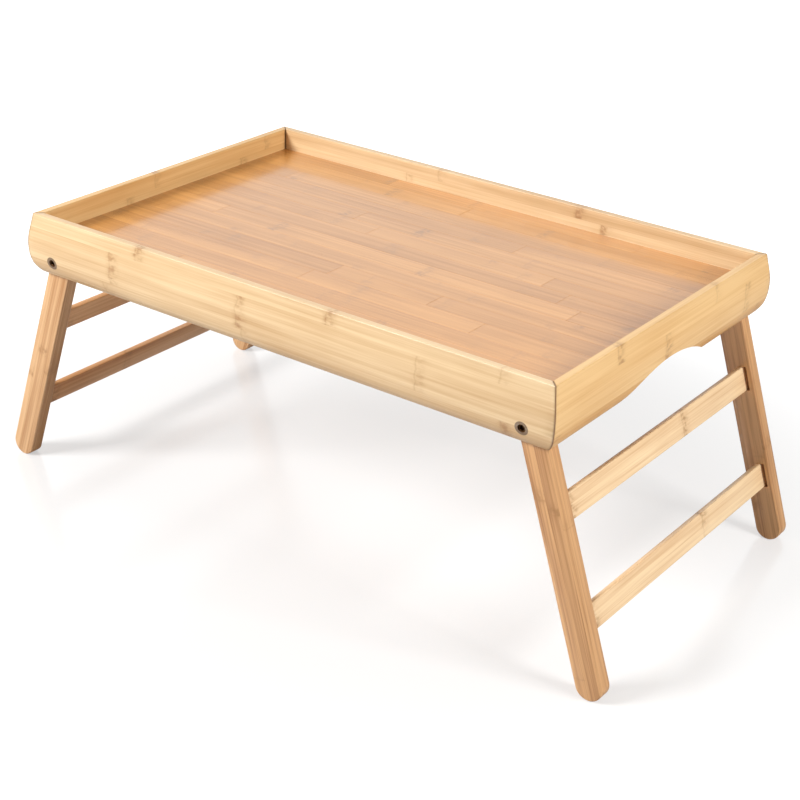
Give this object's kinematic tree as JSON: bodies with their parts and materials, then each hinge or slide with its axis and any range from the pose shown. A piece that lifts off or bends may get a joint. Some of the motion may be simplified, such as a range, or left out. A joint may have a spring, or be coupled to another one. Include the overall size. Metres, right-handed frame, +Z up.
{
  "type": "folding tray table",
  "caption": "Low bamboo tray with raised, rounded mitred walls and folding leg frames, for use on a bed or over a lap.",
  "frame": {"origin": "on the floor, under the middle of the tray, with the legs stood open", "axes": "+X along the tray's length to its right end, +Y from the front wall to the back wall, +Z up"},
  "size_m": [0.5948, 0.32, 0.235],
  "materials": {
    "panel_bamboo": "satin lacquer over laminated strips",
    "wall_bamboo": "satin lacquer",
    "leg_bamboo": "satin lacquer",
    "rail_bamboo": "satin lacquer",
    "bronzed_steel": "dark bronze plated",
    "zinc_steel": "zinc plated",
    "spacer_nylon": "natural nylon"
  },
  "bodies": {
    "tray": {"tray_panel": "panel_bamboo", "front_wall": "wall_bamboo", "back_wall": "wall_bamboo", "left_wall": "wall_bamboo", "right_wall": "wall_bamboo", "front_left_pivot_bolt": "bronzed_steel", "front_left_spacer_washer": "spacer_nylon", "front_left_nut_washer": "zinc_steel", "front_left_lock_nut": "zinc_steel", "front_right_pivot_bolt": "bronzed_steel", "front_right_spacer_washer": "spacer_nylon", "front_right_nut_washer": "zinc_steel", "front_right_lock_nut": "zinc_steel", "back_left_pivot_bolt": "bronzed_steel", "back_left_spacer_washer": "spacer_nylon", "back_left_nut_washer": "zinc_steel", "back_left_lock_nut": "zinc_steel", "back_right_pivot_bolt": "bronzed_steel", "back_right_spacer_washer": "spacer_nylon", "back_right_nut_washer": "zinc_steel", "back_right_lock_nut": "zinc_steel"},
    "left_leg_frame": {"front_left_leg": "leg_bamboo", "back_left_leg": "leg_bamboo", "left_upper_rail": "rail_bamboo", "left_lower_rail": "rail_bamboo"},
    "right_leg_frame": {"front_right_leg": "leg_bamboo", "back_right_leg": "leg_bamboo", "right_upper_rail": "rail_bamboo", "right_lower_rail": "rail_bamboo"}
  },
  "joints": [
    {"name": "right_fold", "type": "hinge", "parent": "tray", "child": "right_leg_frame", "pos_m": [0.22401, 0, 0.198], "axis": [0, 1, 0], "range_deg": [0, 108.5]},
    {"name": "left_fold", "type": "hinge", "parent": "tray", "child": "left_leg_frame", "pos_m": [-0.22401, 0, 0.198], "axis": [0, -1, 0], "range_deg": [0, 108.5]}
  ]
}
